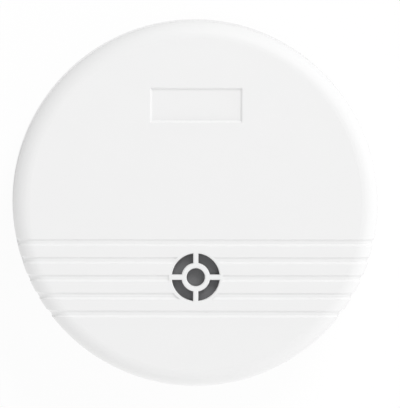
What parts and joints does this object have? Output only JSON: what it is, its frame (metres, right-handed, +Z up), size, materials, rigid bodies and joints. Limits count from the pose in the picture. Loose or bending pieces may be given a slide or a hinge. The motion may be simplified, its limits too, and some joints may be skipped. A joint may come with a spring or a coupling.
{
  "type": "water leak detector",
  "caption": "Round white floor-standing water leak detector with a grooved face, a sounder grille, a bare name plate recess, metal probe feet and a hinged battery door underneath.",
  "frame": {"origin": "middle of the housing, on the floor plane under the probe heads", "axes": "+Z up through the face, +Y towards the name plate recess, +X to the right when the face is read"},
  "size_m": [0.1, 0.1, 0.032],
  "materials": {
    "white_plastic": "fine moulded texture, satin",
    "grey_plastic": "moulded, dull",
    "seal_rubber": "soft, dull",
    "gasket_foam": "closed cell foam",
    "board_green": "solder mask over glass laminate",
    "battery_jacket": "plain printed steel jacket",
    "sprung_brass": "tinned strip",
    "zinc_steel": "zinc plated",
    "stainless_steel": "turned stainless steel",
    "chip_black": "moulded epoxy",
    "coil_ferrite": "ferrite with a lacquered winding",
    "capacitor_sleeve": "shrunk sleeve",
    "filter_ceramic": "fired ceramic with tinned ends"
  },
  "bodies": {
    "housing": {"top_cover": "white_plastic", "base_tray": "white_plastic", "seam_seal": "seal_rubber", "circuit_board": "board_green", "sounder": "grey_plastic", "sounder_gasket": "gasket_foam", "battery": "battery_jacket", "battery_contact_positive": "sprung_brass", "battery_contact_negative": "sprung_brass", "housing_screws": "zinc_steel", "probe_left": "stainless_steel", "probe_right": "stainless_steel", "probe_front": "stainless_steel", "probe_nuts": "stainless_steel", "probe_seals": "seal_rubber", "microcontroller": "chip_black", "drive_coil": "coil_ferrite", "reservoir_capacitor": "capacitor_sleeve", "drive_transistor": "chip_black", "chip_resistors": "chip_black", "filter_capacitors": "filter_ceramic"},
    "door": {"battery_door": "white_plastic"}
  },
  "joints": [
    {"name": "door_hinge", "type": "hinge", "parent": "housing", "child": "door", "pos_m": [0, 0.00275, 0.0027], "axis": [-1, 0, 0], "range_deg": [0, 95]}
  ]
}
